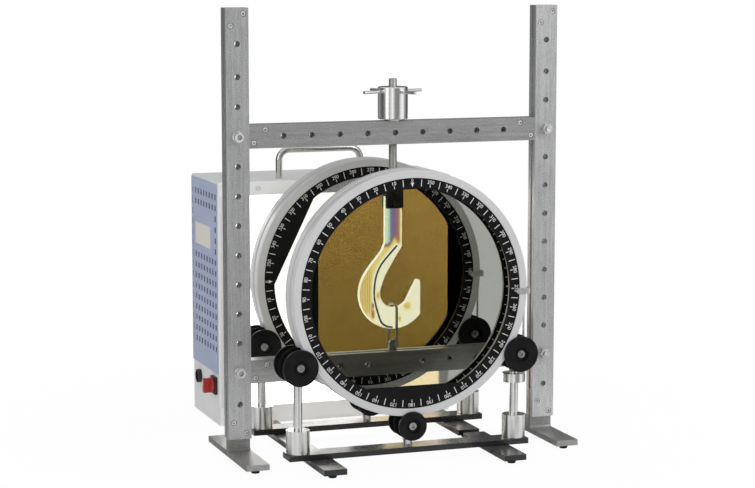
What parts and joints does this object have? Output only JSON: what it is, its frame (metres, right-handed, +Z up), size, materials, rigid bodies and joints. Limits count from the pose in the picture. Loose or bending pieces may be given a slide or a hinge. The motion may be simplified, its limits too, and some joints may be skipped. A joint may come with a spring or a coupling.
{
  "type": "polariscope",
  "caption": "Bench polariscope with turning ring filters on rollers, a perforated load frame with a screw-loaded hook model, and a diffused light box behind.",
  "frame": {"origin": "centre of the bounding box at the bench surface under the rubber pads", "axes": "+Z up; the viewer stands at -Y and looks along +Y to the light box; +X is to the viewer's right"},
  "size_m": [0.6, 0.61, 0.768],
  "materials": {
    "ballast_grey": "plain",
    "base_black": "semi-gloss black",
    "box_grey": "smooth light grey",
    "clamp_black": "matt black",
    "filter_amber": "polished amber filter",
    "filter_clear": "polished filter",
    "frame_steel": "brushed along its length",
    "holder_white": "moulded",
    "hook_clear": "clear stressed resin",
    "knob_red": "moulded red",
    "label_cream": "plain sheet",
    "lamp_white": "frosted tube",
    "opal": "opal sheet",
    "pad_rubber": "matt",
    "panel_blue": "pale blue",
    "pointer_steel": "satin",
    "polished_steel": "polished",
    "ring_grey": "satin light grey",
    "roller_black": "turned black plastic",
    "scale_black": "black with white degree marks",
    "screw_steel": "turned",
    "spacer_steel": "sawn and brushed",
    "turned_steel": "fine turned",
    "wire_steel": "drawn wire"
  },
  "bodies": {
    "stand": {"anchor_pins": "screw_steel", "anchor_tongue": "spacer_steel", "base_bars": "base_black", "beam_fasteners": "screw_steel", "box_ballast": "ballast_grey", "box_diffuser": "opal", "box_handle": "polished_steel", "box_housing": "box_grey", "box_inlet": "clamp_black", "box_label_plate": "label_cream", "box_lamp_holders": "holder_white", "box_lamps": "lamp_white", "box_rear_cover": "box_grey", "box_side_panel": "panel_blue", "box_switch_plate": "clamp_black", "foot_bars": "base_black", "foot_pads": "pad_rubber", "foot_posts": "spacer_steel", "lower_beam_plates": "frame_steel", "plate_screws": "screw_steel", "pointers": "pointer_steel", "post_collars": "polished_steel", "post_sockets": "polished_steel", "roller_axles": "screw_steel", "roller_posts": "polished_steel", "shackle": "wire_steel", "spacer_blocks": "spacer_steel", "upper_beam_plates": "frame_steel", "upright_plates": "frame_steel"},
    "front_ring_body": {"front_ring": "ring_grey", "front_ring_scale": "scale_black", "front_ring_filter": "filter_clear"},
    "front_outer_low_roller_body": {"front_outer_low_roller": "roller_black"},
    "front_outer_left_roller_body": {"front_outer_left_roller": "roller_black"},
    "front_outer_right_roller_body": {"front_outer_right_roller": "roller_black"},
    "front_wave_ring_body": {"front_wave_ring": "ring_grey", "front_wave_ring_scale": "scale_black", "front_wave_ring_filter": "filter_clear"},
    "front_inner_low_roller_body": {"front_inner_low_roller": "roller_black"},
    "front_inner_left_roller_body": {"front_inner_left_roller": "roller_black"},
    "front_inner_right_roller_body": {"front_inner_right_roller": "roller_black"},
    "rear_wave_ring_body": {"rear_wave_ring": "ring_grey", "rear_wave_ring_scale": "scale_black", "rear_wave_ring_filter": "filter_amber"},
    "rear_inner_low_roller_body": {"rear_inner_low_roller": "roller_black"},
    "rear_inner_left_roller_body": {"rear_inner_left_roller": "roller_black"},
    "rear_inner_right_roller_body": {"rear_inner_right_roller": "roller_black"},
    "rear_ring_body": {"rear_ring": "ring_grey", "rear_ring_scale": "scale_black", "rear_ring_filter": "filter_amber"},
    "rear_outer_low_roller_body": {"rear_outer_low_roller": "roller_black"},
    "rear_outer_left_roller_body": {"rear_outer_left_roller": "roller_black"},
    "rear_outer_right_roller_body": {"rear_outer_right_roller": "roller_black"},
    "capstan": {"capstan_hub": "turned_steel", "capstan_rods": "polished_steel"},
    "loader": {"spindle": "polished_steel", "hook_clamp": "clamp_black", "clamp_screws": "screw_steel", "hook_model": "hook_clear"},
    "mains_switch": {"box_switch_knob": "knob_red"}
  },
  "joints": [
    {"name": "front_ring_turn", "type": "hinge", "parent": "stand", "child": "front_ring_body", "pos_m": [-0.009, -0.21, 0.29], "axis": [0, -1, 0], "continuous": true},
    {"name": "front_outer_low_roller_spin", "type": "hinge", "parent": "stand", "child": "front_outer_low_roller_body", "pos_m": [-0.009, -0.21, 0.064], "axis": [0, -1, 0], "continuous": true},
    {"name": "front_outer_left_roller_spin", "type": "hinge", "parent": "stand", "child": "front_outer_left_roller_body", "pos_m": [-0.20697, -0.21, 0.1757], "axis": [0, -1, 0], "continuous": true},
    {"name": "front_outer_right_roller_spin", "type": "hinge", "parent": "stand", "child": "front_outer_right_roller_body", "pos_m": [0.18897, -0.21, 0.1757], "axis": [0, -1, 0], "continuous": true},
    {"name": "front_wave_ring_turn", "type": "hinge", "parent": "stand", "child": "front_wave_ring_body", "pos_m": [-0.009, -0.21, 0.29], "axis": [0, -1, 0], "continuous": true},
    {"name": "front_inner_low_roller_spin", "type": "hinge", "parent": "stand", "child": "front_inner_low_roller_body", "pos_m": [-0.009, -0.21, 0.064], "axis": [0, -1, 0], "continuous": true},
    {"name": "front_inner_left_roller_spin", "type": "hinge", "parent": "stand", "child": "front_inner_left_roller_body", "pos_m": [-0.20697, -0.21, 0.1757], "axis": [0, -1, 0], "continuous": true},
    {"name": "front_inner_right_roller_spin", "type": "hinge", "parent": "stand", "child": "front_inner_right_roller_body", "pos_m": [0.18897, -0.21, 0.1757], "axis": [0, -1, 0], "continuous": true},
    {"name": "rear_wave_ring_turn", "type": "hinge", "parent": "stand", "child": "rear_wave_ring_body", "pos_m": [-0.009, 0.002, 0.29], "axis": [0, -1, 0], "continuous": true},
    {"name": "rear_inner_low_roller_spin", "type": "hinge", "parent": "stand", "child": "rear_inner_low_roller_body", "pos_m": [-0.009, 0.002, 0.064], "axis": [0, -1, 0], "continuous": true},
    {"name": "rear_inner_left_roller_spin", "type": "hinge", "parent": "stand", "child": "rear_inner_left_roller_body", "pos_m": [-0.20697, 0.002, 0.1757], "axis": [0, -1, 0], "continuous": true},
    {"name": "rear_inner_right_roller_spin", "type": "hinge", "parent": "stand", "child": "rear_inner_right_roller_body", "pos_m": [0.18897, 0.002, 0.1757], "axis": [0, -1, 0], "continuous": true},
    {"name": "rear_ring_turn", "type": "hinge", "parent": "stand", "child": "rear_ring_body", "pos_m": [-0.009, 0.002, 0.29], "axis": [0, -1, 0], "continuous": true},
    {"name": "rear_outer_low_roller_spin", "type": "hinge", "parent": "stand", "child": "rear_outer_low_roller_body", "pos_m": [-0.009, 0.002, 0.064], "axis": [0, -1, 0], "continuous": true},
    {"name": "rear_outer_left_roller_spin", "type": "hinge", "parent": "stand", "child": "rear_outer_left_roller_body", "pos_m": [-0.20697, 0.002, 0.1757], "axis": [0, -1, 0], "continuous": true},
    {"name": "rear_outer_right_roller_spin", "type": "hinge", "parent": "stand", "child": "rear_outer_right_roller_body", "pos_m": [0.18897, 0.002, 0.1757], "axis": [0, -1, 0], "continuous": true},
    {"name": "capstan_turn", "type": "hinge", "parent": "stand", "child": "capstan", "pos_m": [0, -0.11, 0.603], "axis": [0, 0, 1], "range_deg": [0, 1000]},
    {"name": "spindle_slide", "type": "slide", "parent": "stand", "child": "loader", "axis": [0, 0, 1], "range_m": [-0.005, 0]},
    {"name": "switch_turn", "type": "hinge", "parent": "stand", "child": "mains_switch", "pos_m": [-0.248, 0.154, 0.078], "axis": [-1, 0, 0], "range_deg": [0, 90]}
  ],
  "couplings": [
    {"joint": "front_outer_low_roller_spin", "follows": "front_ring_turn", "ratio": -12.294},
    {"joint": "front_outer_left_roller_spin", "follows": "front_ring_turn", "ratio": -10.663},
    {"joint": "front_outer_right_roller_spin", "follows": "front_ring_turn", "ratio": -10.663},
    {"joint": "front_inner_low_roller_spin", "follows": "front_wave_ring_turn", "ratio": -12.294},
    {"joint": "front_inner_left_roller_spin", "follows": "front_wave_ring_turn", "ratio": -10.663},
    {"joint": "front_inner_right_roller_spin", "follows": "front_wave_ring_turn", "ratio": -10.663},
    {"joint": "rear_inner_low_roller_spin", "follows": "rear_wave_ring_turn", "ratio": -12.294},
    {"joint": "rear_inner_left_roller_spin", "follows": "rear_wave_ring_turn", "ratio": -10.663},
    {"joint": "rear_inner_right_roller_spin", "follows": "rear_wave_ring_turn", "ratio": -10.663},
    {"joint": "rear_outer_low_roller_spin", "follows": "rear_ring_turn", "ratio": -12.294},
    {"joint": "rear_outer_left_roller_spin", "follows": "rear_ring_turn", "ratio": -10.663},
    {"joint": "rear_outer_right_roller_spin", "follows": "rear_ring_turn", "ratio": -10.663},
    {"joint": "spindle_slide", "follows": "capstan_turn", "m_per_rad": -0.00027852}
  ]
}
